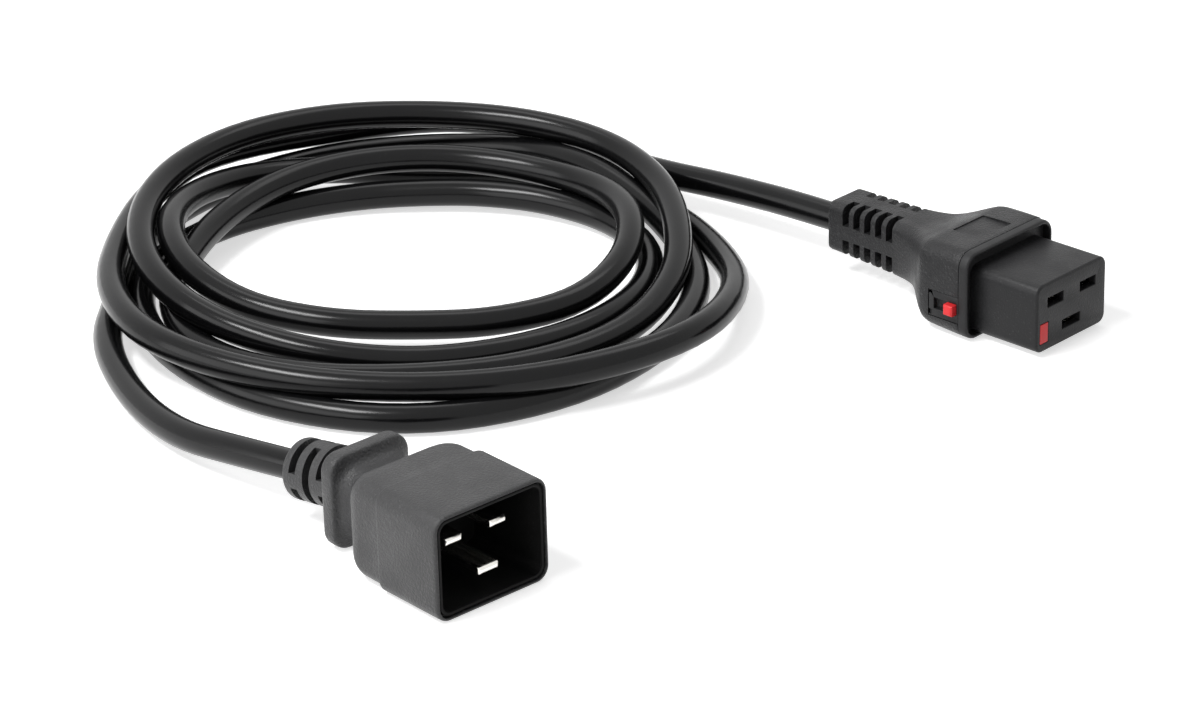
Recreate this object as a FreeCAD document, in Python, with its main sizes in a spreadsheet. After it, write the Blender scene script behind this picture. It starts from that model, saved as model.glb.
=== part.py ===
import FreeCAD, Part
import Sketcher
import math
import os
import re

# A locking C19 power connector with a strain relief boot, on its own cord, which is coiled and
# ends in a C20 plug.
#
# Frame: the connector lies on the floor, z = 0, and its nose points along +X. The origin is the
# point of the floor under the middle of the collar's front ring, so y = 0 is the connector's
# own middle plane. Millimetres.
#
# Order below: sizes, small builders, connector shell, connector mechanism, contacts and cores,
# plug, cord, and at the end the checks and the files.

doc = FreeCAD.newDocument("c19_power_connector")


# ---------------------------------------------------------------- sizes
SIZES = [
    # nose of the connector: the standard's 28 mm wide face, with its slots
    ("nose_wide", 28.0), ("nose_tall", 18.4), ("nose_corner", 2.6), ("nose_axis", 10.4),
    ("nose_front", 20.4), ("nose_rear", -12.0), ("nose_wall", 2.0), ("nose_edge", 0.45),
    ("live_side", 6.5), ("live_rise", 3.8), ("live_slot_wide", 6.3), ("live_slot_tall", 2.6),
    ("earth_drop", 4.2), ("earth_slot_wide", 7.2), ("earth_slot_tall", 2.5), ("room_gap", 0.6),
    ("tab_side", 10.9), ("tab_drop", 4.1), ("window_wide", 3.3), ("window_tall", 5.5),
    # collar: a hard carrier with a front ring, and a soft skin moulded over it
    ("collar_wide", 36.6), ("collar_tall", 24.2), ("collar_corner", 4.4), ("ring_front", 1.4),
    ("ring_rear", -1.4), ("ring_edge", 0.5), ("lip_side", 1.0), ("lip_over", 1.0),
    ("lip_under", 0.6), ("groove_corner", 3.4), ("groove_deep", 2.5), ("skin_side", 1.3),
    ("skin_over", 1.5), ("skin_under", 0.8), ("carrier_corner", 3.4), ("collar_rear", -14.4),
    ("collar_taper", 3.0), ("neck_step", 0.7),
    ("label_long", 9.2), ("label_wide", 12.2), ("label_back", 7.7), ("label_side", 0.4),
    ("label_deep", 0.45),
    # boot
    ("cord_axis", 12.8), ("boot_rear", -54.5), ("boot_front", -31.5),
    ("boot_front_wide", 14.5), ("boot_rear_wide", 13.0), ("boot_corner", 3.4),
    ("boot_slot", 1.7), ("boot_slot_pitch", 3.8), ("boot_slot_first", -48.75),
    ("boot_slot_count", 5), ("boot_top_strip", 5.0), ("boot_side_strip", 4.0),
    ("jacket_end", -30.0), ("jacket_gap", 0.5), ("room_end_wide", 9.4), ("room_end_tall", 9.8),
    ("room_end_drop", 0.2),
    # release slider and its guide
    ("slot_low", 7.0), ("slot_high", 10.05), ("guide_under", 2.1), ("guide_over", 1.85),
    ("guide_toe", 0.5), ("guide_heel", 1.6), ("guide_sunk", 0.1), ("notch_side", 2.0),
    ("notch_deep", 0.5), ("button_long", 2.9), ("button_proud", 1.9),
    ("button_edge", 0.55), ("run_gap", 0.1), ("slider_rear", -6.5), ("travel", 4.3),
    ("spring_pocket", 2.6), ("spring_wide", 2.2), ("spring_high", 1.8), ("spring_strip", 0.3),
    ("spring_front", -3.5), ("spring_rear", -9.7), ("spring_bends", 7), ("retainer_thick", 3.0),
    ("retainer_in", 1.5), ("retainer_gap", 0.2),
    # contacts and cores
    ("sleeve_wall", 0.5), ("blade_thick", 2.0), ("live_blade_wide", 5.0),
    ("earth_blade_wide", 6.0), ("blade_gap", 0.2), ("sleeve_back", 0.8), ("sleeve_rear", 4.0),
    ("seam", 0.6), ("tail_wide", 3.0), ("tail_gap", 0.1), ("barrel_gap", 0.2),
    ("barrel_long", 3.2), ("barrel_out", 3.4), ("barrel_in", 2.6),
    ("clip_rear", 2.0), ("clip_long", 6.0), ("clip_thick", 0.5), ("clip_jaw_tall", 3.8),
    ("clip_gap", 0.15),
    ("core_across", 2.6), ("core_spread", 1.65), ("core_short", 0.7),
    # cord
    ("cord_across", 7.5),
    # plug: its rim's middle, its turn on the floor, and its sizes back from the rim
    ("plug_x", 8.37), ("plug_y", -193.15), ("plug_yaw", -4.55), ("plug_rest", 0.01),
    ("plug_wide", 32.9), ("plug_tall", 26.1), ("plug_corner", 3.6), ("plug_edge", 0.6),
    ("block_step", -21.0), ("block_in", 0.65), ("block_corner", 3.4), ("waist", -37.6),
    ("waist_wide", 18.8), ("waist_tall", 16.6), ("waist_corner", 5.0), ("waist_drop", 0.5),
    ("flange_front", -43.0), ("flange_rear", -47.2), ("flange_wide", 22.9),
    ("flange_tall", 23.6), ("flange_corner", 4.4), ("flange_drop", 0.95), ("flange_edge", 0.7),
    ("shroud_wall", 1.15), ("insert_corner", 2.8), ("insert_rim", -0.4), ("insert_base", 3.0),
    ("insert_wall", 0.8), ("cavity_corner", 2.2), ("cavity_floor", -24.0),
    ("rim_groove", 0.35), ("rim_groove_deep", 1.5), ("pin_live_rise", 2.95),
    ("pin_earth_drop", 5.05), ("pin_live_tip", -5.3), ("pin_earth_tip", -1.4),
    ("pin_tip", 0.6), ("pin_tail", 4.0), ("pin_tail_wide", 2.4), ("pin_tail_thick", 1.0),
    ("wiring_wide", 25.0), ("wiring_tall", 18.0), ("wiring_end", 8.0),
    ("plug_jacket_end", -38.0), ("plug_boot_end", -65.6), ("plug_boot_side", -2.2),
    ("plug_boot_drop", 2.0), ("plug_boot_front_across", 15.4), ("plug_boot_rear_across", 14.8),
    ("plug_slot", 2.1), ("plug_slot_pitch", 4.6), ("plug_slot_first", 3.6),
    ("plug_slot_floor", 10.4), ("plug_slot_sweep", 150.0), ("plug_boot_sunk", 1.5),
    # coil: its middle, its reach outward and inward toward its four sides, and its height
    ("coil_x", -138.0), ("coil_y", -75.0), ("coil_turn", 44.3), ("coil_high", 21.5),
    ("coil_out_back", 97.0), ("coil_out_left", 92.0), ("coil_out_front", 109.0),
    ("coil_out_right", 91.5), ("coil_in_back", 32.0), ("coil_in_left", 56.0),
    ("coil_in_front", 48.0), ("coil_in_right", 49.0),
]

# sizes that follow from the ones above, with the clearance or wall between two pieces by name
FOLLOWING = {
    "live_room_wide": "live_blade_wide + blade_gap + 2 * sleeve_wall + 2 * room_gap",
    "earth_room_wide": "earth_blade_wide + blade_gap + 2 * sleeve_wall + 2 * room_gap",
    "room_tall": "blade_thick + blade_gap + 2 * sleeve_wall + 2 * room_gap",
    "collar_mid": "collar_tall / 2",
    "groove_wide": "collar_wide - 2 * lip_side",
    "groove_tall": "collar_tall - lip_over - lip_under",
    "groove_mid": "(collar_tall - lip_over + lip_under) / 2",
    "carrier_wide": "collar_wide - 2 * skin_side",
    "carrier_tall": "collar_tall - skin_over - skin_under",
    "carrier_mid": "(collar_tall - skin_over + skin_under) / 2",
    "label_floor": "collar_tall - label_deep",
    "guide_front": "ring_rear",
    "slot_front": "guide_front - guide_toe",
    "button_front": "slot_front - run_gap",
    "button_rear": "button_front - button_long",
    "slot_rear": "button_rear - travel - run_gap",
    "guide_rear": "slot_rear - guide_heel",
    "guide_low": "slot_low - guide_under",
    "guide_high": "slot_high + guide_over",
    "guide_out": "collar_wide / 2 - guide_sunk",
    "button_out": "guide_out + button_proud",
    "retainer_wide": "nose_wide - 2 * retainer_in",
    "retainer_tall": "nose_tall - 2 * retainer_in",
    "retainer_rear": "nose_rear - retainer_thick",
    "sleeve_front": "nose_front - nose_wall - sleeve_back",
    "barrel_front": "retainer_rear - barrel_gap",
    "barrel_rear": "barrel_front - barrel_long",
    "plug_axis": "plug_tall / 2 + plug_rest",
    "block_wide": "plug_wide - 2 * block_in",
    "block_tall": "plug_tall - 2 * block_in",
    "waist_mid": "plug_axis - waist_drop",
    "flange_mid": "plug_axis - flange_drop",
    "insert_wide": "plug_wide - 2 * shroud_wall",
    "insert_tall": "plug_tall - 2 * shroud_wall",
    "insert_rear": "cavity_floor - insert_base",
    "cavity_wide": "insert_wide - 2 * insert_wall",
    "cavity_tall": "insert_tall - 2 * insert_wall",
    "rim_groove_wide": "insert_wide + 2 * rim_groove",
    "rim_groove_tall": "insert_tall + 2 * rim_groove",
    "pin_tail_rear": "insert_rear - pin_tail",
}

sheet = doc.addObject("Spreadsheet::Sheet", "Sizes")
for row, (name, number) in enumerate(SIZES, start=1):
    sheet.set("A%d" % row, name)
    sheet.set("B%d" % row, str(number))
    sheet.setAlias("B%d" % row, name)
probe = doc.addObject("Part::Box", "probe")
doc.recompute()


# ---------------------------------------------------------------- small builders
def size(name):
    """The number that one size stands for now."""
    return sheet_number(name) if name in FOLLOWING else float(getattr(sheet, name))


def bound(text):
    """An expression such as 'nose_wide / 2', with each name made cells of the sheet."""
    def cells(found):
        name = found.group(0)
        return "(%s)" % bound(FOLLOWING[name]) if name in FOLLOWING else "Sizes." + name
    return re.sub(r"[a-z]\w*", cells, text)


def tie(thing, **sizes):
    """Bind properties to expressions; x, y and z are the placement's own coordinates."""
    short = {"x": "Placement.Base.x", "y": "Placement.Base.y", "z": "Placement.Base.z"}
    for prop, text in sizes.items():
        thing.setExpression(short.get(prop, prop), bound(text))
    return thing


def box(name, x, y, z, long, wide, tall):
    """A box from its low corner, each number an expression."""
    solid = doc.addObject("Part::Box", name)
    return tie(solid, x=x, y=y, z=z, Length=long, Width=wide, Height=tall)


def rod(name, x, y, z, across, long):
    """A round rod along +X from the point x, y, z."""
    solid = doc.addObject("Part::Cylinder", name)
    solid.Placement = FreeCAD.Placement(FreeCAD.Vector(), FreeCAD.Rotation(FreeCAD.Vector(0, 1, 0), 90))
    return tie(solid, x=x, y=y, z=z, Radius="(%s) / 2" % across, Height=long)


def joined(name, parts):
    """The union of several solids."""
    solid = doc.addObject("Part::MultiFuse", name)
    solid.Shapes = parts
    return solid


def less(name, base, tools):
    """A solid with one or more others taken out of it."""
    solid = doc.addObject("Part::Cut", name)
    solid.Base = base
    solid.Tool = tools[0] if len(tools) == 1 else joined(name + "_cutters", tools)
    return solid


def sketch(body, name, role, out):
    """An empty sketch on one of the body's own planes, moved out along the plane's normal."""
    made = body.newObject("Sketcher::SketchObject", name)
    plane = [item for item in body.Origin.OriginFeatures if item.Role == role][0]
    made.AttachmentSupport = [(plane, "")]
    made.MapMode = "FlatFace"
    made.setExpression("AttachmentOffset.Base.z", bound(out))
    return made


def point_at(made, item, end, name, across, up):
    """Hold one point of a sketch at across, up, which are expressions."""
    for kind, text in (("DistanceX", across), ("DistanceY", up)):
        index = made.addConstraint(Sketcher.Constraint(kind, -1, 1, item, end, sheet_number(text)))
        made.renameConstraint(index, name + kind[-1])
        made.setExpression("Constraints." + name + kind[-1], bound(text))


def sheet_number(text):
    """The number that an expression of cells, + - * / and numbers stands for now."""
    probe.setExpression("Length", bound(text) + " + 1000")
    probe.recompute()
    return probe.Length.Value - 1000


def rectangle(made, name, low_across, high_across, low_up, high_up):
    """A rectangle in a sketch between four expressions."""
    left, right = sheet_number(low_across), sheet_number(high_across)
    low, high = sheet_number(low_up), sheet_number(high_up)
    corners = [FreeCAD.Vector(*at, 0) for at in ((left, low), (right, low), (right, high), (left, high))]
    first = made.GeometryCount
    for start, end in zip(corners, corners[1:] + corners[:1]):
        made.addGeometry(Part.LineSegment(start, end))
    for side in range(4):
        made.addConstraint(Sketcher.Constraint("Coincident", first + side, 2, first + (side + 1) % 4, 1))
        made.addConstraint(Sketcher.Constraint(("Horizontal", "Vertical")[side % 2], first + side))
    point_at(made, first, 1, name + "Low", low_across, low_up)
    point_at(made, first + 2, 1, name + "High", high_across, high_up)


def round_rectangle(made, wide, tall, corner, middle, side="0"):
    """A rectangle with round corners round the point side, middle."""
    half_wide, half_tall, radius = (sheet_number(text) for text in (wide + " / 2", tall + " / 2", corner))
    across, up = sheet_number(side), sheet_number(middle)
    turns = ((-1, -1, 180), (1, -1, 270), (1, 1, 0), (-1, 1, 90))
    arcs = []
    for sign_across, sign_up, start in turns:
        centre = FreeCAD.Vector(across + sign_across * (half_wide - radius),
                                up + sign_up * (half_tall - radius), 0)
        circle = Part.Circle(centre, FreeCAD.Vector(0, 0, 1), radius)
        arc = Part.ArcOfCircle(circle, math.radians(start), math.radians(start + 90))
        arcs.append((made.addGeometry(arc), arc))
    for number in range(4):
        here, arc = arcs[number]
        after, next_arc = arcs[(number + 1) % 4]
        line = made.addGeometry(Part.LineSegment(arc.EndPoint, next_arc.StartPoint))
        made.addConstraint(Sketcher.Constraint("Tangent", here, 2, line, 1))
        made.addConstraint(Sketcher.Constraint("Tangent", line, 2, after, 1))
        made.addConstraint(Sketcher.Constraint(("Horizontal", "Vertical")[number % 2], line))
        if number:
            made.addConstraint(Sketcher.Constraint("Equal", arcs[0][0], here))
    index = made.addConstraint(Sketcher.Constraint("Radius", arcs[0][0], radius))
    made.renameConstraint(index, "corner")
    made.setExpression("Constraints.corner", bound(corner))
    for number, name, sign in ((0, "low", "-"), (2, "high", "+")):
        point_at(made, arcs[number][0], 3, name, "%s %s (%s / 2 - %s)" % (side, sign, wide, corner),
                 "%s %s (%s / 2 - %s)" % (middle, sign, tall, corner))


def ring(made, across, middle, side="0"):
    """A circle of the diameter across in a sketch, round the point side, middle."""
    centre = FreeCAD.Vector(sheet_number(side), sheet_number(middle), 0)
    item = made.addGeometry(Part.Circle(centre, FreeCAD.Vector(0, 0, 1), sheet_number(across) / 2))
    index = made.addConstraint(Sketcher.Constraint("Diameter", item, sheet_number(across)))
    made.renameConstraint(index, "across%d" % item)
    made.setExpression("Constraints.across%d" % item, bound(across))
    point_at(made, item, 3, "centre%d" % item, side, middle)


def pad(body, made, long, back=False, taper=None):
    """Material from a sketch along its normal or back from it, drawn in by a taper's degrees."""
    feature = body.newObject("PartDesign::Pad", "%s_pad_%d" % (made.Name, len(body.Group)))
    feature.Profile = made
    feature.Reversed = back
    feature.setExpression("Length", bound(long))
    if taper:
        feature.setExpression("TaperAngle", bound("0 - " + taper))
    doc.recompute()
    return feature


def pocket(body, made, long, onward=False):
    """A hole from a sketch against its normal, or onward along it."""
    before = body.Shape.Volume if body.Shape.Solids else None
    feature = body.newObject("PartDesign::Pocket", made.Name + "_pocket")
    feature.Profile = made
    feature.Reversed = onward
    feature.setExpression("Length", bound(long))
    doc.recompute()
    if before is not None and body.Shape.Volume > before - 1e-6:
        raise RuntimeError(made.Name + " cuts nothing")
    return feature


def loft(body, kind, sketches):
    """A loft in straight runs from sketch to sketch, adding or taking away."""
    feature = body.newObject("PartDesign::" + kind, sketches[0].Name + "_loft")
    feature.Profile = sketches[0]
    feature.Sections = sketches[1:]
    feature.Ruled = True
    doc.recompute()
    return feature


def edges_where(feature, test):
    """Names of the feature's edges whose every vertex and middle pass a test."""
    names = []
    for number, edge in enumerate(feature.Shape.Edges, start=1):
        middle = edge.valueAt((edge.FirstParameter + edge.LastParameter) / 2)
        if all(test(at) for at in [vertex.Point for vertex in edge.Vertexes] + [middle]):
            names.append("Edge%d" % number)
    return names


def dress(body, kind, feature, amount, test):
    """A fillet or chamfer of a feature's edges that pass a test."""
    doc.recompute()
    made = body.newObject("PartDesign::" + kind, feature.Name + "_" + kind.lower())
    made.Base = (feature, edges_where(feature, test))
    made.setExpression("Radius" if kind == "Fillet" else "Size", bound(amount))
    doc.recompute()
    return made


def rounded_route(points):
    """Straight runs joined by tangent arcs, each arc as wide as its shorter run allows."""
    points = [FreeCAD.Vector(*at) for at in points]
    edges, radii, start = [], [], points[0]
    for before, corner, after in zip(points, points[1:], points[2:]):
        inward, outward = (before - corner), (after - corner)
        runs = min(inward.Length, outward.Length)
        inward.normalize()
        outward.normalize()
        turn = math.pi - inward.getAngle(outward)
        reach = 0.45 * runs
        first, last = corner + inward * reach, corner + outward * reach
        radii.append(reach / math.tan(turn / 2))
        middle = corner + (inward + outward).normalize() * (radii[-1] * (1 / math.cos(turn / 2) - 1))
        edges += [Part.LineSegment(start, first).toShape(), Part.Arc(first, middle, last).toShape()]
        start = last
    edges.append(Part.LineSegment(start, points[-1]).toShape())
    return Part.Wire(edges), radii


def round_tube(points, across):
    """A solid round tube along a route, square at both ends."""
    wire, radii = rounded_route(points)
    along = FreeCAD.Vector(*points[1]) - FreeCAD.Vector(*points[0])
    circle = Part.Circle(FreeCAD.Vector(*points[0]), along, across / 2)
    tube = wire.makePipeShell([Part.Wire(circle.toShape())], True, True)
    length = sum(edge.Length for edge in wire.Edges)
    flat = math.pi * across ** 2 / 4 * length
    if abs(tube.Volume / flat - 1) > 0.01:
        raise RuntimeError("a tube's volume is %.4f of its section times its length" % (tube.Volume / flat))
    return tube, length, min(radii)


# ---------------------------------------------------------------- connector shell
def nose_housing():
    """The hard nose: slotted front wall, a room behind each slot, and the slider's channel."""
    body = doc.addObject("PartDesign::Body", "nose_housing")
    outline = sketch(body, "nose_outline", "YZ_Plane", "nose_rear")
    round_rectangle(outline, "nose_wide", "nose_tall", "nose_corner", "nose_axis")
    block = pad(body, outline, "nose_front - nose_rear")
    front = size("nose_front")
    dress(body, "Chamfer", block, "nose_edge", lambda at: abs(at[0] - front) < 1e-4)
    rooms = (
        ("line", "live_side", "live_rise", "live_room_wide", "live_slot_wide", "live_slot_tall"),
        ("neutral", "0 - live_side", "live_rise", "live_room_wide", "live_slot_wide", "live_slot_tall"),
        ("earth", "0", "0 - earth_drop", "earth_room_wide", "earth_slot_wide", "earth_slot_tall"),
    )
    for name, side, rise, room_wide, slot_wide, slot_tall in rooms:
        for kind, wide, tall, out, long in (
                ("room", room_wide, "room_tall", "nose_rear", "nose_front - nose_wall - nose_rear"),
                ("slot", slot_wide, slot_tall, "nose_front", "nose_wall + 1")):
            hole = sketch(body, name + "_" + kind, "YZ_Plane", out)
            rectangle(hole, "edge", "%s - %s / 2" % (side, wide), "%s + %s / 2" % (side, wide),
                      "nose_axis + %s - %s / 2" % (rise, tall), "nose_axis + %s + %s / 2" % (rise, tall))
            pocket(body, hole, long, onward=kind == "room")
    channel = sketch(body, "slider_channel", "YZ_Plane", "nose_front")
    rectangle(channel, "edge", "0 - tab_side - window_wide / 2", "0 - tab_side + window_wide / 2",
              "nose_axis - tab_drop - window_tall / 2", "nose_axis - tab_drop + window_tall / 2")
    pocket(body, channel, "nose_front - nose_rear + 1")
    side_slot = sketch(body, "stem_slot", "YZ_Plane", "nose_rear")
    rectangle(side_slot, "edge", "0 - nose_wide / 2 - 1", "0 - tab_side", "slot_low", "slot_high")
    pocket(body, side_slot, "slot_front - nose_rear", onward=True)
    clip_slot = sketch(body, "clip_slot", "YZ_Plane", "nose_rear")
    rectangle(clip_slot, "edge", "0 - tab_side", "0",
              "nose_axis - earth_drop - clip_thick / 2 - clip_gap",
              "nose_axis - earth_drop + clip_thick / 2 + clip_gap")
    pocket(body, clip_slot, "clip_rear + clip_long + 2 - nose_rear", onward=True)
    return body


def collar_carrier():
    """The hard carrier round the nose: a front ring with a lip and a groove, and a block."""
    body = doc.addObject("PartDesign::Body", "collar_carrier")
    block = sketch(body, "carrier_block", "YZ_Plane", "nose_rear")
    round_rectangle(block, "carrier_wide", "carrier_tall", "carrier_corner", "carrier_mid")
    pad(body, block, "ring_rear - nose_rear")
    outline = sketch(body, "front_ring", "YZ_Plane", "ring_rear")
    round_rectangle(outline, "collar_wide", "collar_tall", "collar_corner", "collar_mid")
    front_ring = pad(body, outline, "ring_front - ring_rear")
    front = size("ring_front")
    dress(body, "Chamfer", front_ring, "ring_edge", lambda at: abs(at[0] - front) < 1e-4)
    groove = sketch(body, "groove", "YZ_Plane", "ring_front")
    round_rectangle(groove, "groove_wide", "groove_tall", "groove_corner", "groove_mid")
    pocket(body, groove, "groove_deep")
    seat = sketch(body, "nose_seat", "YZ_Plane", "ring_front")
    round_rectangle(seat, "nose_wide", "nose_tall", "nose_corner", "nose_axis")
    pocket(body, seat, "ring_front - nose_rear + 1")
    way = sketch(body, "stem_way", "YZ_Plane", "slot_front")
    rectangle(way, "edge", "0 - carrier_wide / 2 - 1", "0 - nose_wide / 2 + 1",
              "slot_low - run_gap", "slot_high + run_gap")
    pocket(body, way, "slot_front - slot_rear")
    return body


# how far place, width, height, corner and middle of the neck have gone from collar to boot
NECK = ((0, 0, 0, 0, 0), (0.07, 0.048, 0.06, -0.1, 0.143), (0.164, 0.135, 0.193, -0.2, 0.357),
        (0.281, 0.28, 0.422, -0.4, 0.571), (0.421, 0.483, 0.639, -0.4, 0.786),
        (0.573, 0.676, 0.807, -0.1, 0.929), (0.76, 0.86, 0.94, 0.4, 1), (1, 1, 1, 1, 1))
# the same for the room inside it, where the cores spread from the cord to their contacts
ROOM = ((0, 0, 0, 0, 0), (0.24, 0.1875, 0.214, 0, 0.318), (0.6, 0.7375, 0.75, 0, 0.818), (1, 1, 1, 0, 1))
CHORDS = 4  # flats that stand for each round corner of a section


def blended(start, end, shares):
    """Rows of a section table between two ends, from how far each size has gone at each row."""
    return [["(%s) + %s * ((%s) - (%s))" % (first, share, last, first)
             for first, last, share in zip(start, end, row)] for row in shares]


def sections(body, name, table):
    """Sketches across X, one a row: its place, width, height, corner and middle height."""
    made = []
    for number, row in enumerate(table, start=1):
        one = sketch(body, "%s_section_%d" % (name, number), "YZ_Plane", row[0])
        wide, tall, corner, middle = (sheet_number(text) for text in row[1:])
        points = []
        for sign_across, sign_up, start in ((1, 1, 0), (-1, 1, 90), (-1, -1, 180), (1, -1, 270)):
            for chord in range(CHORDS + 1 if corner > 0.01 else 1):
                turn = math.radians(start + 90 * chord / CHORDS)
                points.append(FreeCAD.Vector(
                    sign_across * (wide / 2 - corner) + corner * math.cos(turn),
                    middle + sign_up * (tall / 2 - corner) + corner * math.sin(turn), 0))
        for start, end in zip(points, points[1:] + points[:1]):
            one.addGeometry(Part.LineSegment(start, end))
        for side in range(len(points)):
            one.addConstraint(Sketcher.Constraint("Coincident", side, 2, (side + 1) % len(points), 1))
        made.append(one)
    return made


def connector_overmould():
    """The soft skin: collar, trumpet neck and slotted boot in one moulding, hollow inside."""
    body = doc.addObject("PartDesign::Body", "connector_overmould")
    front = sketch(body, "skin_front", "YZ_Plane", "ring_rear")
    round_rectangle(front, "collar_wide", "collar_tall", "collar_corner", "collar_mid")
    pad(body, front, "ring_rear - collar_rear", back=True, taper="collar_taper")
    collar_end = ("collar_rear", "collar_wide - 2 * neck_step", "collar_tall - 2 * neck_step",
                  "collar_corner", "collar_mid")
    boot_end = ("boot_front", "boot_front_wide", "boot_front_wide", "boot_corner", "cord_axis")
    neck = blended(collar_end, boot_end, NECK)
    neck.append(("boot_rear", "boot_rear_wide", "boot_rear_wide", "boot_corner", "cord_axis"))
    loft(body, "AdditiveLoft", sections(body, "neck", neck))
    carrier = sketch(body, "carrier_room", "YZ_Plane", "ring_rear")
    round_rectangle(carrier, "carrier_wide", "carrier_tall", "carrier_corner", "carrier_mid")
    pocket(body, carrier, "ring_rear - nose_rear")
    retainer = sketch(body, "retainer_room", "YZ_Plane", "nose_rear")
    rectangle(retainer, "edge", "0 - retainer_wide / 2 - retainer_gap", "retainer_wide / 2 + retainer_gap",
              "nose_axis - retainer_tall / 2", "nose_axis + retainer_tall / 2")
    pocket(body, retainer, "retainer_thick")
    room_start = ("retainer_rear", "retainer_wide + 2 * retainer_gap", "retainer_tall", "0", "nose_axis")
    room_end = ("jacket_end", "room_end_wide", "room_end_tall", "0", "cord_axis - room_end_drop")
    loft(body, "SubtractiveLoft", sections(body, "room", blended(room_start, room_end, ROOM)))
    bore = sketch(body, "cord_bore", "YZ_Plane", "jacket_end + jacket_gap")
    ring(bore, "cord_across", "cord_axis")
    pocket(body, bore, "jacket_end - boot_rear + 2")
    label = sketch(body, "label_recess", "XY_Plane", "collar_tall + 1")
    rectangle(label, "edge", "0 - label_back - label_long / 2", "0 - label_back + label_long / 2",
              "0 - label_side - label_wide / 2", "0 - label_side + label_wide / 2")
    pocket(body, label, "collar_tall + 1 - label_floor")
    window = sketch(body, "guide_window", "XZ_Plane", "collar_wide / 2 + 1")
    rectangle(window, "edge", "guide_rear", "guide_front", "guide_low", "guide_high")
    pocket(body, window, "collar_wide / 2 + 1 - carrier_wide / 2")
    slots = sketch(body, "boot_slots", "YZ_Plane", "boot_slot_first")
    for name, side, up in (("a", "-", "-"), ("b", "+", "-"), ("c", "+", "+"), ("d", "-", "+")):
        across = ["0 %s boot_top_strip / 2" % side, "0 %s boot_front_wide" % side]
        rise = ["cord_axis %s boot_side_strip / 2" % up, "cord_axis %s boot_front_wide" % up]
        across.sort(key=sheet_number)
        rise.sort(key=sheet_number)
        rectangle(slots, name, across[0], across[1], rise[0], rise[1])
    first = pocket(body, slots, "boot_slot", onward=True)
    row = body.newObject("PartDesign::LinearPattern", "boot_slot_rows")
    row.Originals = [first]
    row.Direction = (slots, ["N_Axis"])
    row.setExpression("Length", bound("boot_slot_pitch * (boot_slot_count - 1)"))
    row.Occurrences = int(size("boot_slot_count"))
    body.Tip = row
    doc.recompute()
    return body


# ---------------------------------------------------------------- connector mechanism
def button_guide():
    """The hard insert in the collar's side, with the slot that the button slides in."""
    plate = box("guide_plate", "guide_rear", "0 - guide_out", "guide_low", "guide_front - guide_rear",
                "guide_out - carrier_wide / 2", "guide_high - guide_low")
    slot = box("guide_slot", "slot_rear", "0 - guide_out - 1", "slot_low", "slot_front - slot_rear",
               "guide_out", "slot_high - slot_low")
    notches = [box("guide_notch_" + name, "guide_rear - 1", "0 - guide_out - 1", low, "2",
                   "notch_deep + 1", tall)
               for name, low, tall in (("low", "guide_low + guide_under / 7", "guide_under * 2 / 3"),
                                       ("high", "guide_high - guide_over / 2", "guide_over * 3 / 7"))]
    return less("button_guide", plate, [slot] + notches)


def release_slider():
    """The red slider: a bar with its tab in the nose's face, a stem, and the button outside."""
    body = doc.addObject("PartDesign::Body", "release_slider")
    bar = sketch(body, "slider_bar", "YZ_Plane", "slider_rear")
    rectangle(bar, "edge", "0 - tab_side - window_wide / 2 + run_gap",
              "0 - tab_side + window_wide / 2 - run_gap",
              "nose_axis - tab_drop - window_tall / 2 + run_gap",
              "nose_axis - tab_drop + window_tall / 2 - run_gap")
    pad(body, bar, "nose_front - slider_rear")
    stem = sketch(body, "slider_stem", "YZ_Plane", "button_rear")
    rectangle(stem, "edge", "0 - button_out", "0 - tab_side", "slot_low + run_gap", "slot_high - run_gap")
    button = pad(body, stem, "button_front - button_rear")
    out = size("button_out")
    dress(body, "Fillet", button, "button_edge", lambda at: abs(at[1] + out) < 1e-4)
    seat = sketch(body, "spring_pocket_mouth", "YZ_Plane", "slider_rear")
    rectangle(seat, "edge", "0 - tab_side - spring_pocket / 2", "0 - tab_side + spring_pocket / 2",
              "nose_axis - tab_drop - spring_pocket / 2", "nose_axis - tab_drop + spring_pocket / 2")
    pocket(body, seat, "spring_front - slider_rear", onward=True)
    return body


def slider_spring():
    """The slider's return spring, bent to and fro from strip, as long as with the button back."""
    strip, high, bends = size("spring_strip"), size("spring_high"), int(size("spring_bends"))
    step = (size("spring_front") - size("spring_rear") - strip) / bends
    corners = [FreeCAD.Vector(-step * number, (-1) ** number * (high - strip) / 2, 0)
               for number in range(bends + 1)]
    legs = []
    for start, end in zip(corners, corners[1:]):
        leg = Part.makeBox((end - start).Length, strip, size("spring_wide"),
                           FreeCAD.Vector(0, -strip / 2, 0))
        turn = FreeCAD.Rotation(FreeCAD.Vector(1, 0, 0), end - start)
        leg.Placement = FreeCAD.Placement(start, turn).multiply(leg.Placement)
        legs.append(leg)
    bent = [Part.makeCylinder(strip / 2, size("spring_wide"), corner) for corner in corners]
    made = doc.addObject("Part::Feature", "slider_spring")
    made.Shape = legs[0].multiFuse(legs[1:] + bent).removeSplitter()
    made.Placement = FreeCAD.Placement(FreeCAD.Vector(), FreeCAD.Rotation(FreeCAD.Vector(1, 0, 0), 90))
    return tie(made, x="spring_front - spring_strip / 2", y="spring_wide / 2 - tab_side",
               z="nose_axis - tab_drop")


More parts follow.
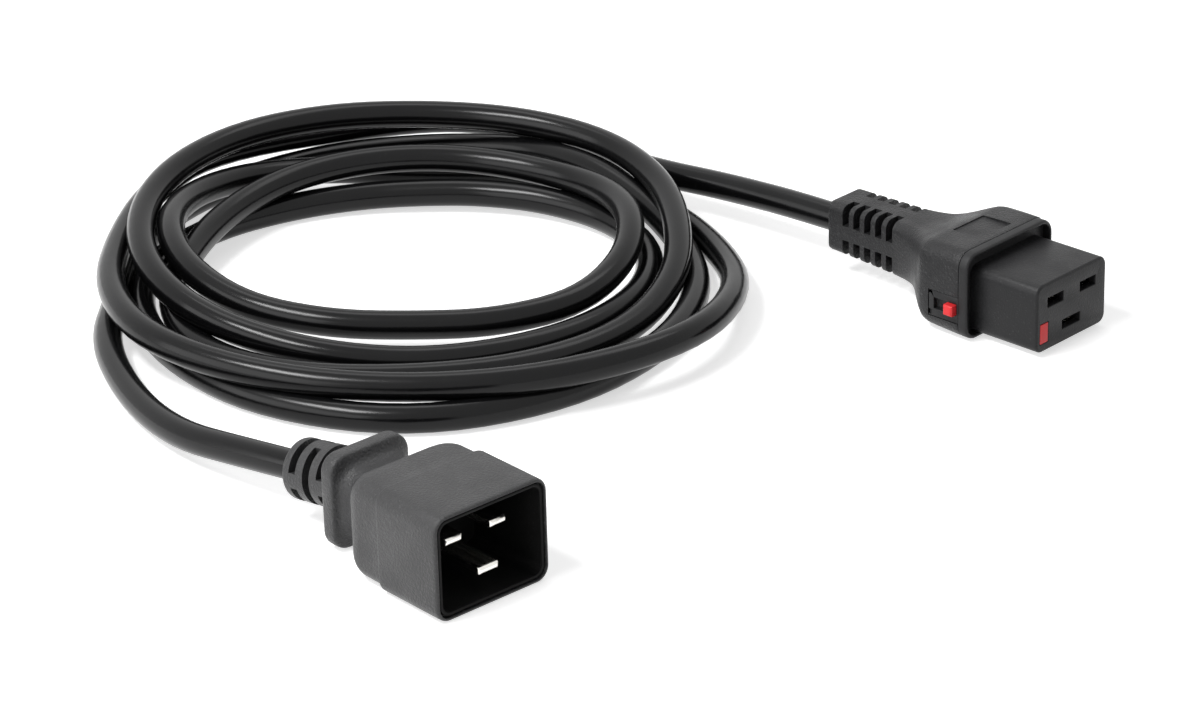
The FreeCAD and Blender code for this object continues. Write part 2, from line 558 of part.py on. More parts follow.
def contact_retainer():
    """The plate behind the nose that holds the contacts' tails, and the spring's seat."""
    plate = box("retainer_plate", "retainer_rear", "0 - retainer_wide / 2",
                "nose_axis - retainer_tall / 2", "retainer_thick", "retainer_wide", "retainer_tall")
    holes = [box("tail_hole_" + name, "retainer_rear - 1", "%s - tail_wide / 2 - tail_gap" % side,
                 "nose_axis + %s - (blade_thick + blade_gap) / 2 - sleeve_wall - tail_gap" % rise,
                 "retainer_thick + 2", "tail_wide + 2 * tail_gap", "sleeve_wall + 2 * tail_gap")
             for name, side, rise in CONTACTS]
    seat = box("spring_seat", "spring_rear - travel - run_gap", "0 - tab_side - spring_pocket / 2",
               "nose_axis - tab_drop - spring_pocket / 2", "nose_rear - spring_rear + travel + run_gap",
               "spring_pocket", "spring_pocket")
    return less("contact_retainer", plate, holes + [seat])


# name, side and rise of each contact from the nose's middle
CONTACTS = (("line", "live_side", "live_rise"), ("neutral", "(0 - live_side)", "live_rise"),
            ("earth", "0", "(0 - earth_drop)"))


def contact(name, side, rise):
    """A folded strip: a slit sleeve that takes a blade, a flat tail and a crimped barrel."""
    wide = ("earth_blade_wide" if name == "earth" else "live_blade_wide") + " + blade_gap"
    tall = "blade_thick + blade_gap"
    middle = "(nose_axis + %s)" % rise
    sleeve = box(name + "_sleeve", "sleeve_rear", "%s - (%s) / 2 - sleeve_wall" % (side, wide),
                 "%s - (%s) / 2 - sleeve_wall" % (middle, tall), "sleeve_front - sleeve_rear",
                 "%s + 2 * sleeve_wall" % wide, "%s + 2 * sleeve_wall" % tall)
    inside = box(name + "_inside", "sleeve_rear - 1", "%s - (%s) / 2" % (side, wide),
                 "%s - (%s) / 2" % (middle, tall), "sleeve_front - sleeve_rear + 2", wide, tall)
    seam = box(name + "_seam", "sleeve_rear - 1", "%s - seam / 2" % side, middle,
               "sleeve_front - sleeve_rear + 2", "seam", "blade_thick * 2")
    tail = box(name + "_tail", "barrel_front - sleeve_wall", "%s - tail_wide / 2" % side,
               "%s - (%s) / 2 - sleeve_wall" % (middle, tall),
               "sleeve_rear - barrel_front + 2 * sleeve_wall", "tail_wide", "sleeve_wall")
    barrel_mid = "%s - (%s) / 2 - sleeve_wall + barrel_out / 2" % (middle, tall)
    barrel = rod(name + "_barrel", "barrel_rear", side, barrel_mid, "barrel_out",
                 "barrel_front - barrel_rear")
    bore = rod(name + "_bore", "barrel_rear - 1", side, barrel_mid, "barrel_in",
               "barrel_front - barrel_rear + 2")
    return less("contact_" + name, joined(name + "_strip", [sleeve, tail, barrel]), [inside, seam, bore])


def lock_clip():
    """The steel clip on the earth contact: an arm to the slider and a jaw at the sleeve."""
    arm = box("clip_arm", "clip_rear", "0 - tab_side + window_wide / 2",
              "nose_axis - earth_drop - clip_thick / 2", "clip_long",
              "tab_side - window_wide / 2 - earth_room_wide / 2 + room_gap / 2", "clip_thick")
    jaw = box("clip_jaw", "clip_rear", "0 - earth_room_wide / 2 + room_gap / 12",
              "nose_axis - earth_drop - clip_jaw_tall / 2", "clip_long",
              "room_gap * 11 / 12", "clip_jaw_tall")
    return joined("lock_clip", [arm, jaw])


# each core's place in the cord's round section, as turns from the side toward the top
CORE_TURNS = {"line": 30, "neutral": 150, "earth": 270}


def core(name, start, end):
    """One insulated core of the cord, straight between two points."""
    start, end = FreeCAD.Vector(*start), FreeCAD.Vector(*end)
    made = doc.addObject("Part::Feature", name)
    made.Shape = Part.makeCylinder(size("core_across") / 2, (end - start).Length, start, end - start)
    return made


def connector_core(name, side, rise):
    """A core of the connector, from the contact's barrel down to the jacket."""
    turn = math.radians(CORE_TURNS[name])
    spread = size("core_spread")
    tall = size("blade_thick") + size("blade_gap")
    at_barrel = (size("barrel_rear"), sheet_number(side), sheet_number("nose_axis + " + rise)
                 - tall / 2 - size("sleeve_wall") + size("barrel_out") / 2)
    at_jacket = (size("jacket_end") + size("core_short"), spread * math.cos(turn),
                 size("cord_axis") + spread * math.sin(turn))
    return core("core_" + name, at_barrel, at_jacket)


# ---------------------------------------------------------------- plug
# the plug from its step to the rear of its flange: place, width, height, corner and middle
PLUG_REAR = (
    ("block_step", "block_wide", "block_tall - 0.2", "block_corner", "plug_axis - 0.1"),
    ("insert_rear - 0.6", "block_wide", "block_tall - 0.2", "block_corner", "plug_axis - 0.1"),
    ("insert_rear - 2.4", "block_wide - 0.2", "block_tall - 0.8", "block_corner + 1", "plug_axis - 0.4"),
    ("insert_rear - 4.4", "block_wide - 1.8", "block_tall - 3", "block_corner + 1.8", "plug_axis - 0.5"),
    ("insert_rear - 6.6", "block_wide - 6", "block_tall - 6", "block_corner + 1.8", "plug_axis - 0.6"),
    ("waist + 2", "waist_wide + 1.6", "waist_tall + 0.3", "waist_corner", "waist_mid"),
    ("waist", "waist_wide", "waist_tall", "waist_corner", "waist_mid"),
    ("waist - 2", "waist_wide + 0.6", "waist_tall + 1.2", "waist_corner", "waist_mid - 0.1"),
    ("flange_front + 1.4", "flange_wide - 1.6", "flange_tall - 2.4", "flange_corner", "flange_mid"),
    ("flange_front", "flange_wide", "flange_tall", "flange_corner", "flange_mid"),
    ("flange_rear + flange_edge", "flange_wide - 0.6", "flange_tall - 0.6", "flange_corner", "flange_mid"),
    ("flange_rear", "flange_wide - 2 * flange_edge", "flange_tall - 2 * flange_edge",
     "flange_corner - flange_edge", "flange_mid"),
)
# how far the room behind the plug's insert has narrowed toward the cord
WIRING = ((0, 0, 0, 0, 0), (0.318, 0.235, 0.3, 0, 0), (0.727, 0.8, 0.76, 0, 0), (1, 1, 1, 0, 0))


def plug_overmould():
    """The plug's outside: shroud, block, waist, flange and boot, hollow for the insert."""
    body = doc.addObject("PartDesign::Body", "plug_moulding")
    shroud = sketch(body, "shroud_outline", "YZ_Plane", "block_step")
    round_rectangle(shroud, "plug_wide", "plug_tall", "plug_corner", "plug_axis")
    solid = pad(body, shroud, "0 - block_step")
    dress(body, "Chamfer", solid, "plug_edge", lambda at: abs(at[0]) < 1e-4)
    loft(body, "AdditiveLoft", sections(body, "rear", PLUG_REAR))
    seat = sketch(body, "insert_seat", "YZ_Plane", "0")
    round_rectangle(seat, "insert_wide", "insert_tall", "insert_corner", "plug_axis")
    pocket(body, seat, "0 - insert_rear")
    rim = sketch(body, "rim_groove", "YZ_Plane", "0")
    round_rectangle(rim, "rim_groove_wide", "rim_groove_tall", "insert_corner", "plug_axis")
    pocket(body, rim, "rim_groove_deep")
    wiring_start = ("insert_rear", "wiring_wide", "wiring_tall", "0", "plug_axis")
    wiring_end = ("plug_jacket_end", "wiring_end", "wiring_end", "0", "plug_axis")
    loft(body, "SubtractiveLoft", sections(body, "wiring", blended(wiring_start, wiring_end, WIRING)))
    bore = sketch(body, "plug_cord_bore", "YZ_Plane", "plug_jacket_end + jacket_gap")
    ring(bore, "cord_across", "plug_axis")
    pocket(body, bore, "plug_jacket_end - flange_rear + jacket_gap")
    boot = joined("plug_with_boot", [body, on_boot_axis("plug_boot", "Part::Cone", 0 - size("plug_boot_sunk"),
                                                        Radius1="plug_boot_front_across / 2",
                                                        Radius2="plug_boot_rear_across / 2")])
    hollow = on_boot_axis("plug_boot_bore", "Part::Cylinder", 0 - size("plug_boot_sunk"),
                          Radius="cord_across / 2")
    return in_plug(less("plug_overmould", boot, [hollow, plug_slots()]))


def boot_axis():
    """Where the plug's boot starts, on the flange's rear, and the way it leans to its end."""
    start = FreeCAD.Vector(size("flange_rear"), 0, size("plug_axis"))
    end = FreeCAD.Vector(size("plug_boot_end"), size("plug_boot_side"),
                         size("plug_axis") - size("plug_boot_drop"))
    return start, end - start


def on_boot_axis(name, kind, along, turn=0, long=None, **sizes):
    """A round solid on the boot's own line, from a distance along it to its end or for a length."""
    start, way = boot_axis()
    solid = doc.addObject(kind, name)
    tie(solid, **sizes)
    solid.Height = long or way.Length - along
    lean = FreeCAD.Rotation(FreeCAD.Vector(0, 0, 1), way)
    spin = FreeCAD.Rotation(FreeCAD.Vector(0, 0, 1), turn)
    solid.Placement = FreeCAD.Placement(start + way.normalize() * along, lean * spin)
    return solid


def plug_slots():
    """Cutters for the boot's slots: halves over and under, and to each side, row by row."""
    long = boot_axis()[1].Length
    up = FreeCAD.Rotation(FreeCAD.Vector(0, 0, 1), boot_axis()[1]).inverted().multVec(
        FreeCAD.Vector(0, 0, 1))
    upward = math.degrees(math.atan2(up.y, up.x))
    pies = []
    for row in range(3):
        along = long - size("plug_slot_first") - row * size("plug_slot_pitch") - size("plug_slot") / 2
        for half in range(2):
            turn = upward + 180 * half + (90 if row == 1 else 0) - size("plug_slot_sweep") / 2
            pies.append(on_boot_axis("plug_slot_%d_%d" % (row, half), "Part::Cylinder", along, turn,
                                     size("plug_slot"), Radius="plug_boot_front_across",
                                     Angle="plug_slot_sweep"))
    floor = on_boot_axis("plug_slot_floors", "Part::Cylinder", 0, Radius="plug_slot_floor / 2")
    return less("plug_slot_cutters", joined("plug_slot_pies", pies), [floor])


def in_plug(made):
    """Put a finished piece of the plug, built with the rim at X = 0, where the plug lies."""
    made.Placement = FreeCAD.Placement(FreeCAD.Vector(), FreeCAD.Rotation(FreeCAD.Vector(0, 0, 1),
                                                                         size("plug_yaw")))
    return tie(made, x="plug_x", y="plug_y")


def plug_insert():
    """The hard cup inside the plug, whose base carries the three pins."""
    body = doc.addObject("PartDesign::Body", "plug_insert")
    outline = sketch(body, "insert_outline", "YZ_Plane", "insert_rear")
    round_rectangle(outline, "insert_wide", "insert_tall", "insert_corner", "plug_axis")
    pad(body, outline, "insert_rim - insert_rear")
    cavity = sketch(body, "insert_cavity", "YZ_Plane", "insert_rim")
    round_rectangle(cavity, "cavity_wide", "cavity_tall", "cavity_corner", "plug_axis")
    pocket(body, cavity, "insert_rim - cavity_floor")
    for name, side, rise, wide in PINS:
        hole = sketch(body, "pin_hole_" + name, "YZ_Plane", "cavity_floor")
        rectangle(hole, "edge", "%s - %s / 2" % (side, wide), "%s + %s / 2" % (side, wide),
                  "plug_axis + %s - blade_thick / 2" % rise, "plug_axis + %s + blade_thick / 2" % rise)
        pocket(body, hole, "cavity_floor - insert_rear + 1")
    return in_plug(body)


# name, side, rise and width of each pin of the plug
PINS = (("line", "(0 - live_side)", "pin_live_rise", "live_blade_wide"),
        ("neutral", "live_side", "pin_live_rise", "live_blade_wide"),
        ("earth", "0", "(0 - pin_earth_drop)", "earth_blade_wide"))


def plug_pin(name, side, rise, wide):
    """A flat pin with a chamfered tip and a solder tail behind the insert's base."""
    body = doc.addObject("PartDesign::Body", "plug_pin_" + name)
    tip = "pin_earth_tip" if name == "earth" else "pin_live_tip"
    outline = sketch(body, name + "_blade", "YZ_Plane", "insert_rear")
    rectangle(outline, "edge", "%s - %s / 2" % (side, wide), "%s + %s / 2" % (side, wide),
              "plug_axis + %s - blade_thick / 2" % rise, "plug_axis + %s + blade_thick / 2" % rise)
    blade = pad(body, outline, "%s - insert_rear" % tip)
    front = size(tip)
    dress(body, "Chamfer", blade, "pin_tip", lambda at: abs(at[0] - front) < 1e-4)
    tail = sketch(body, name + "_solder_tail", "YZ_Plane", "pin_tail_rear")
    rectangle(tail, "edge", "%s - pin_tail_wide / 2" % side, "%s + pin_tail_wide / 2" % side,
              "plug_axis + %s - pin_tail_thick / 2" % rise, "plug_axis + %s + pin_tail_thick / 2" % rise)
    pad(body, tail, "insert_rear - pin_tail_rear")
    return in_plug(body)


def plug_core(name, side, rise, wide):
    """A core of the plug, from its pin's tail to the jacket."""
    turn = math.radians(CORE_TURNS[name])
    spread, axis = size("core_spread"), size("plug_axis")
    at_pin = (size("pin_tail_rear"), sheet_number(side) * 0.8, axis + sheet_number(rise) * 0.8)
    at_jacket = (size("plug_jacket_end") + size("core_short"), 0 - spread * math.cos(turn),
                 axis + spread * math.sin(turn))
    return in_plug(core("plug_core_" + name, at_pin, at_jacket))


# ---------------------------------------------------------------- cord
# middle line of the cord from the end of its jacket in the connector to the coil
LEAD = ((-30, 0, 12.8), (-64, 0, 12.8), (-96, 0.6, 10.6))
# and from the coil through the plug's boot to the end of its jacket there
TAIL = ((-177, -151, 3.8), (-131, -184.5, 3.75), (-102, -190.4, 5.2), (-78, -190.96, 8.81),
        (-38.68, -189.41, 13.06), (-29.5, -190.14, 13.06))


def cord_piece(name, points):
    """One uncoiled stretch of the cord."""
    tube, length, radius = round_tube(points, size("cord_across"))
    print("%s: %.1f mm long, tightest bend %.1f mm" % (name, length, radius))
    made = doc.addObject("Part::Feature", name)
    made.Shape = tube
    return made


def coil_line(reach, turn_count=48):
    """A closed line round the coil's middle through its reach toward four sides."""
    points = []
    for step in range(turn_count):
        quarter, part = divmod(step * 4 / turn_count, 1)
        near, far = reach[int(quarter)], reach[(int(quarter) + 1) % 4]
        radius = near + (far - near) * (1 - math.cos(math.pi * part)) / 2
        angle = math.radians(90 + size("coil_turn") + 360 * step / turn_count)
        points.append(FreeCAD.Vector(size("coil_x") + radius * math.cos(angle),
                                     size("coil_y") + radius * math.sin(angle), 0))
    return Part.makePolygon(points + points[:1])


def cord_coil():
    """The coil as one closed ring: the outer shape of all its turns together."""
    sides = ("back", "left", "front", "right")
    face = Part.Face([coil_line([size("coil_out_" + side) for side in sides]),
                      coil_line([size("coil_in_" + side) for side in sides])], "Part::FaceMakerBullseye")
    made = doc.addObject("Part::Feature", "cord_coil")
    made.Shape = face.extrude(FreeCAD.Vector(0, 0, size("coil_high")))
    return made


# ---------------------------------------------------------------- pieces, checks and files
pieces = [nose_housing(), collar_carrier(), connector_overmould(), button_guide(), release_slider(),
          slider_spring(), contact_retainer(), lock_clip()]
pieces += [contact(*row) for row in CONTACTS]
pieces += [connector_core(*row) for row in CONTACTS]
pieces += [plug_overmould(), plug_insert()]
pieces += [plug_pin(*row) for row in PINS]
pieces += [plug_core(*row) for row in PINS]
pieces += [cord_piece("cord_lead", LEAD), cord_coil(), cord_piece("cord_tail", TAIL)]
doc.removeObject("probe")
doc.recompute()

for thing in doc.Objects:
    if "Invalid" in thing.State or "Error" in thing.State:
        raise RuntimeError("%s failed: %s" % (thing.Name, thing.State))
os.makedirs("parts", exist_ok=True)
for piece in pieces:
    shape = piece.Shape
    if shape.isNull() or not shape.isValid() or not shape.Solids:
        raise RuntimeError(piece.Name + " has no valid solid")
    piece.Label = piece.Name
    shape.exportStep("parts/%s.step" % piece.Name)
    limits = shape.BoundBox
    print("%-20s %d solid, %8.1f mm3, X %.1f to %.1f, Y %.1f to %.1f, Z %.1f to %.1f" % (
        piece.Name, len(shape.Solids), shape.Volume, limits.XMin, limits.XMax, limits.YMin, limits.YMax,
        limits.ZMin, limits.ZMax))
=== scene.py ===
import math

import bmesh
import bpy
from mathutils import Matrix, Vector


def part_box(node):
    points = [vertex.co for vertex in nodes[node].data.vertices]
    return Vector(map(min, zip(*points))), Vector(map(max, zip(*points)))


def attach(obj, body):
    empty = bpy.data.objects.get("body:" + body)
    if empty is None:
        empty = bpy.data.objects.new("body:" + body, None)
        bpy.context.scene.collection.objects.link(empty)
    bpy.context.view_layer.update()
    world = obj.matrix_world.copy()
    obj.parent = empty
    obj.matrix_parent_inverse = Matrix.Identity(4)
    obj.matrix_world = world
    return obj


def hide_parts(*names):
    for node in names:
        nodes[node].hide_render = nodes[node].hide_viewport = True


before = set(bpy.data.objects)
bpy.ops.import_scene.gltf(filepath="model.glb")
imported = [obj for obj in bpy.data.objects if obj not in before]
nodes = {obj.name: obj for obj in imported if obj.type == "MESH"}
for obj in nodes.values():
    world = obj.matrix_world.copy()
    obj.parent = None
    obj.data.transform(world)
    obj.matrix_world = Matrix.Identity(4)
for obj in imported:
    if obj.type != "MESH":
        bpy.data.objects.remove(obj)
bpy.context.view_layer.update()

scene = bpy.context.scene
scene.view_settings.view_transform = "Standard"


# ---------------------------------------------------------------- camera, floor and light
# A long lens looks down at the connector's slotted face from the front right. The floor and the
# room are white and plain, and glossy plastic mirrors that white. A soft key lamp high at the front
# left draws the streaks along the cord, a wide low one fills the sides, one behind lifts the tops.
lens = 127.46
eye = Vector((0.61326, -0.77681, 0.45174))
aim = Vector((-0.0656, -0.0816, 0.0))
lean = -0.0262
view = (aim - eye).normalized()
level = view.cross(Vector((0, 0, 1))).normalized()
upright = level.cross(view)
across = math.cos(lean) * level + math.sin(lean) * upright
upward = math.cos(lean) * upright - math.sin(lean) * level
camera = bpy.data.objects.new("camera", bpy.data.cameras.new("camera"))
camera.data.lens = lens
camera.data.sensor_width = 36
camera.data.clip_end = 20
camera.matrix_world = Matrix.Translation(eye) @ Matrix((across, upward, -view)).transposed().to_4x4()
scene.collection.objects.link(camera)
scene.camera = camera


def where_white_shows(tree):
    """One for a ray from the camera, a mirror or clear plastic, and nought for the others."""
    rays = tree.nodes.new("ShaderNodeLightPath")
    shown = rays.outputs["Is Camera Ray"]
    for kind in ("Is Glossy Ray", "Is Transmission Ray"):
        either = tree.nodes.new("ShaderNodeMath")
        either.operation = "MAXIMUM"
        tree.links.new(shown, either.inputs[0])
        tree.links.new(rays.outputs[kind], either.inputs[1])
        shown = either.outputs[0]
    return shown


room_light = 0.18
white_world = bpy.data.worlds.new("white room")
white_world.use_nodes = True
tree = white_world.node_tree
tree.nodes.clear()
seen = tree.nodes.new("ShaderNodeBackground")
seen.inputs["Color"].default_value = (1, 1, 1, 1)
around = tree.nodes.new("ShaderNodeBackground")
around.inputs["Color"].default_value = (1, 1, 1, 1)
around.inputs["Strength"].default_value = room_light
choice = tree.nodes.new("ShaderNodeMixShader")
world_out = tree.nodes.new("ShaderNodeOutputWorld")
tree.links.new(where_white_shows(tree), choice.inputs["Fac"])
tree.links.new(around.outputs[0], choice.inputs[1])
tree.links.new(seen.outputs[0], choice.inputs[2])
tree.links.new(choice.outputs[0], world_out.inputs["Surface"])
scene.world = white_world

floor_reach, floor_lift = 4.0, 0.62
floor_mesh = bpy.data.meshes.new("floor")
floor_mesh.from_pydata([(side * floor_reach, depth * floor_reach, 0)
                        for side, depth in ((-1, -1), (1, -1), (1, 1), (-1, 1))], [], [(0, 1, 2, 3)])
floor = bpy.data.objects.new("floor", floor_mesh)
scene.collection.objects.link(floor)
floor_paint = bpy.data.materials.new("white floor")
floor_paint.use_nodes = True
tree = floor_paint.node_tree
shade = tree.nodes["Principled BSDF"]
shade.inputs["Base Color"].default_value = (0.8, 0.8, 0.8, 1)
shade.inputs["Roughness"].default_value = 0.8
shade.inputs["Specular IOR Level"].default_value = 0.2
glow = tree.nodes.new("ShaderNodeEmission")
glow.inputs["Color"].default_value = (1, 1, 1, 1)
lift = tree.nodes.new("ShaderNodeMath")
lift.operation = "MULTIPLY"
lift.inputs[1].default_value = floor_lift
tree.links.new(where_white_shows(tree), lift.inputs[0])
tree.links.new(lift.outputs[0], glow.inputs["Strength"])
both = tree.nodes.new("ShaderNodeAddShader")
tree.links.new(shade.outputs[0], both.inputs[0])
tree.links.new(glow.outputs[0], both.inputs[1])
tree.links.new(both.outputs[0], tree.nodes["Material Output"].inputs["Surface"])
floor.data.materials.append(floor_paint)

lamp_target = Vector((-0.1, -0.08, 0))
for name, place, wide, tall, watts in (("key", (-0.29, -0.73, 1.11), 0.6, 0.27, 12.5),
                                       ("back", (-0.45, 0.45, 1.3), 1.3, 0.5, 4.0),
                                       ("front left", (-0.5, -1.6, 0.6), 2.0, 1.0, 13.5)):
    lamp = bpy.data.objects.new(name, bpy.data.lights.new(name, "AREA"))
    lamp.data.shape = "RECTANGLE"
    lamp.data.size = wide
    lamp.data.size_y = tall
    lamp.data.energy = watts
    lamp.location = place
    lamp.rotation_euler = (lamp_target - Vector(place)).to_track_quat("-Z", "Y").to_euler()
    scene.collection.objects.link(lamp)


# ---------------------------------------------------------------- cord
# A round three-core mains cord with a smooth black jacket, extruded in one length from the
# connector to the plug. It leaves the boot straight, runs round the loose coil five and a
# quarter times, over and under its own turns, and rises to the plug's boot.
cord_across = 0.0075
lead_points = [(-30, 0, 12.8), (-64, 0, 12.8), (-96, 0.6, 10.6), (-119, -2, 9.4), (-140, -1.7, 8.6),
               (-157, -1.8, 10.6), (-184.4, -7.9, 10.5), (-205.1, -24.2, 8.5)]
tail_points = [(-177.2, -145, 3.8), (-159.2, -165.7, 4), (-129.5, -181.8, 3.75), (-102.7, -190.2, 5.2),
               (-78, -191, 8.8), (-38.7, -189.4, 13.1), (-29.5, -190.1, 13.1)]
coil_middle = (-138.0, -75.0)
coil_turned = 44.3
# how far each turn lies from the coil's middle, and how high, in eight directions: back, back
# left, left, front left, front, front right, right and back right
turns = [
    ((88.4, 13.7), (82.1, 12), (78.5, 10.5), (92.8, 11.3), (94, 9.1), (101, 11),
     (78.8, 3.9), (65.2, 3.75)),
    ((56.8, 3.75), (65.2, 9.1), (66.1, 14.8), (60.5, 9.4), (51.9, 7.1), (60, 8.1),
     (56.8, 13.7), (52, 10.7)),
    ((47.5, 12.4), (51.9, 11.3), (59.7, 7.3), (78.3, 3.75), (80.7, 5.5), (78.2, 5.4),
     (68.9, 11.8), (70.2, 15.1)),
    ((68.7, 16.8), (73.3, 18.2), (73.6, 15.9), (73.2, 9.9), (67.2, 3.75), (66.6, 3.75),
     (61.5, 3.9), (46.8, 5)),
    ((39.8, 5.1), (50.1, 3.75), (70, 3.75), (85.6, 3.75), (101.9, 3.75), (88.8, 3.75),
     (71, 3.75), (62.2, 11)),
    ((75.5, 4.1), (75.3, 3.75), (77.3, 3.75), (84.6, 3.75), (92.7, 3.75)),
]
points_per_eighth = 2
first_eighth, last_eighth = 1, 42


def between(values, at):
    """The smooth line through evenly spaced values, read at a place between two of them."""
    low = min(int(at), len(values) - 2)
    part = at - low
    last = len(values) - 1
    before, here, after, beyond = (values[min(max(low + step, 0), last)] for step in (-1, 0, 1, 2))
    return here + 0.5 * part * (after - before + part * (
        2 * before - 5 * here + 4 * after - beyond + part * (3 * (here - after) + beyond - before)))


reaches = [reach for turn in turns for reach, height in turn]
heights = [height for turn in turns for reach, height in turn]
cord_floor = cord_across * 500
coil_points = []
for step in range((last_eighth - first_eighth) * points_per_eighth + 1):
    eighth = first_eighth + step / points_per_eighth
    angle = math.radians(90 + coil_turned + 45 * eighth)
    reach = between(reaches, eighth)
    coil_points.append((coil_middle[0] + reach * math.cos(angle),
                        coil_middle[1] + reach * math.sin(angle),
                        max(between(heights, eighth), cord_floor)))
line = bpy.data.curves.new("cord", "CURVE")
line.dimensions = "3D"
line.bevel_depth = cord_across / 2
line.bevel_resolution = 6
line.use_fill_caps = True
spline = line.splines.new("NURBS")
route = lead_points + coil_points + tail_points
spline.points.add(len(route) - 1)
for point, place in zip(spline.points, route):
    point.co = (place[0] / 1000, place[1] / 1000, place[2] / 1000, 1)
spline.order_u = 3
spline.use_endpoint_u = True
spline.resolution_u = 6
cord = bpy.data.objects.new("cord", line)
scene.collection.objects.link(cord)


def group_of(name, numbers, results):
    """An empty shader node group with its inputs and outputs named."""
    group = bpy.data.node_groups.new(name, "ShaderNodeTree")
    for title, start in numbers:
        kind = "NodeSocketColor" if isinstance(start, tuple) else "NodeSocketFloat"
        group.interface.new_socket(title, in_out="INPUT", socket_type=kind).default_value = start
    for title, kind in results:
        group.interface.new_socket(title, in_out="OUTPUT", socket_type=kind)
    return group, group.nodes.new("NodeGroupInput"), group.nodes.new("NodeGroupOutput")


def made(group, kind, settings=(), **links):
    """One node of a group, its settings made and its sockets fed from other nodes or numbers."""
    node = group.nodes.new(kind)
    for title, value in settings:
        setattr(node, title, value)
    for title, source in links.items():
        wanted = int(title[1:]) if title[1:].isdigit() else title.replace("_", " ")
        socket = node.inputs[wanted]
        if isinstance(source, bpy.types.NodeSocket):
            group.links.new(source, socket)
        else:
            socket.default_value = source
    return node


# moulded surface: a fine grain from the mould's wall, with broad soft patches where the
# plastic cooled unevenly, and pale specks on the grain's raised tops: a little dust and a
# painted sheen of light caught by the grain
moulded, taken, given = group_of("moulded surface", [
    ("Colour", (0.02, 0.02, 0.02, 1)), ("Grain size", 1200.0), ("Patch size", 90.0),
    ("Roughness", 0.5), ("Roughness spread", 0.1), ("Dust", 0.1)],
    [("Colour", "NodeSocketColor"), ("Roughness", "NodeSocketFloat"), ("Height", "NodeSocketFloat")])
place = made(moulded, "ShaderNodeTexCoord")
grain = made(moulded, "ShaderNodeTexNoise", Vector=place.outputs["Object"],
             Scale=taken.outputs["Grain size"], Detail=3.0, Roughness=0.6)
patch = made(moulded, "ShaderNodeTexNoise", Vector=place.outputs["Object"],
             Scale=taken.outputs["Patch size"], Detail=2.0)
# pale specks on the grain's raised tops: partly dust, partly a painted sheen that lightens the colour
# where light would catch the grain
grain_tops = made(moulded, "ShaderNodeMapRange", Value=grain.outputs["Fac"], From_Min=0.6, From_Max=0.74)
dust_and_sheen_mask = made(moulded, "ShaderNodeMath", [("operation", "MULTIPLY")], _0=grain_tops.outputs[0],
             _1=taken.outputs["Dust"])
pale = made(moulded, "ShaderNodeMix", [("data_type", "RGBA")], _0=dust_and_sheen_mask.outputs[0],
            _6=taken.outputs["Colour"], _7=(0.35, 0.35, 0.36, 1))
shift = made(moulded, "ShaderNodeMapRange", Value=patch.outputs["Fac"], From_Min=0.3, From_Max=0.7,
             To_Min=-1.0, To_Max=1.0)
spread = made(moulded, "ShaderNodeMath", [("operation", "MULTIPLY_ADD")], _0=shift.outputs[0],
              _1=taken.outputs["Roughness spread"], _2=taken.outputs["Roughness"])
moulded.links.new(pale.outputs[2], given.inputs["Colour"])
moulded.links.new(spread.outputs[0], given.inputs["Roughness"])
moulded.links.new(grain.outputs["Fac"], given.inputs["Height"])


grain_depth = 0.0003


def moulded_finish(name, colour, grain_size, patch_size, rough, rough_spread, dust_and_sheen, bump, shine):
    """A finish whose colour, roughness and relief come from the moulded surface."""
    finish = bpy.data.materials.new(name)
    finish.use_nodes = True
    tree = finish.node_tree
    shade = tree.nodes["Principled BSDF"]
    surface = tree.nodes.new("ShaderNodeGroup")
    surface.node_tree = moulded
    for title, value in (("Colour", colour), ("Grain size", grain_size), ("Patch size", patch_size),
                         ("Roughness", rough), ("Roughness spread", rough_spread), ("Dust", dust_and_sheen)):
        surface.inputs[title].default_value = value
    relief = tree.nodes.new("ShaderNodeBump")
    relief.inputs["Strength"].default_value = bump
    relief.inputs["Distance"].default_value = grain_depth
    tree.links.new(surface.outputs["Colour"], shade.inputs["Base Color"])
    tree.links.new(surface.outputs["Roughness"], shade.inputs["Roughness"])
    tree.links.new(surface.outputs["Height"], relief.inputs["Height"])
    tree.links.new(relief.outputs["Normal"], shade.inputs["Normal"])
    shade.inputs["Specular IOR Level"].default_value = shine
    return finish


jacket = moulded_finish("cord jacket", (0.003, 0.003, 0.0033, 1),
                        grain_size=700.0, patch_size=40.0, rough=0.2, rough_spread=0.05,
                        dust_and_sheen=0.01, bump=0.02, shine=0.24)
line.materials.append(jacket)
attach(cord, "connector")
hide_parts("cord_lead", "cord_coil", "cord_tail")


# ---------------------------------------------------------------- collar, neck and boot
# The soft outer skin of the connector, one moulding of grained black rubber-like plastic: it
# grips the hard carrier as a collar, narrows through a trumpet neck and ends in a square boot
# whose rows of slots let the cord bend. A shallow blank label panel lies on top.
skin_cuts = [
    # x, near and far side, underside and top, corner
    (-1.5, -18.2, 16.6, 0.5, 23.9, 4.2), (-1.9, -18.3, 16.8, 0.4, 24.0, 4.3),
    (-7.0, -18.3, 17.0, 0.6, 24.0, 4.4), (-12.2, -18.3, 17.3, 0.9, 23.8, 4.6),
    (-14.0, -18.0, 17.1, 1.3, 23.6, 4.8), (-15.2, -17.3, 16.6, 1.9, 23.2, 4.9),
    (-16.6, -16.2, 15.7, 2.6, 22.7, 4.9), (-18.6, -14.4, 14.1, 3.4, 22.0, 4.8),
    (-21.0, -12.2, 12.0, 4.1, 21.3, 4.5), (-24.0, -10.0, 10.0, 4.7, 20.8, 4.0),
    (-27.5, -8.5, 8.5, 5.0, 20.6, 3.3), (-31.5, -7.5, 7.5, 5.2, 20.4, 2.6),
    (-38.0, -7.2, 7.2, 5.6, 20.3, 2.3), (-53.7, -6.9, 6.9, 6.3, 20.1, 2.2),
    (-54.2, -6.8, 6.8, 6.4, 20.0, 2.1), (-54.5, -6.4, 6.4, 6.8, 19.6, 1.8),
]
corner_steps, flat_steps = 8, 6


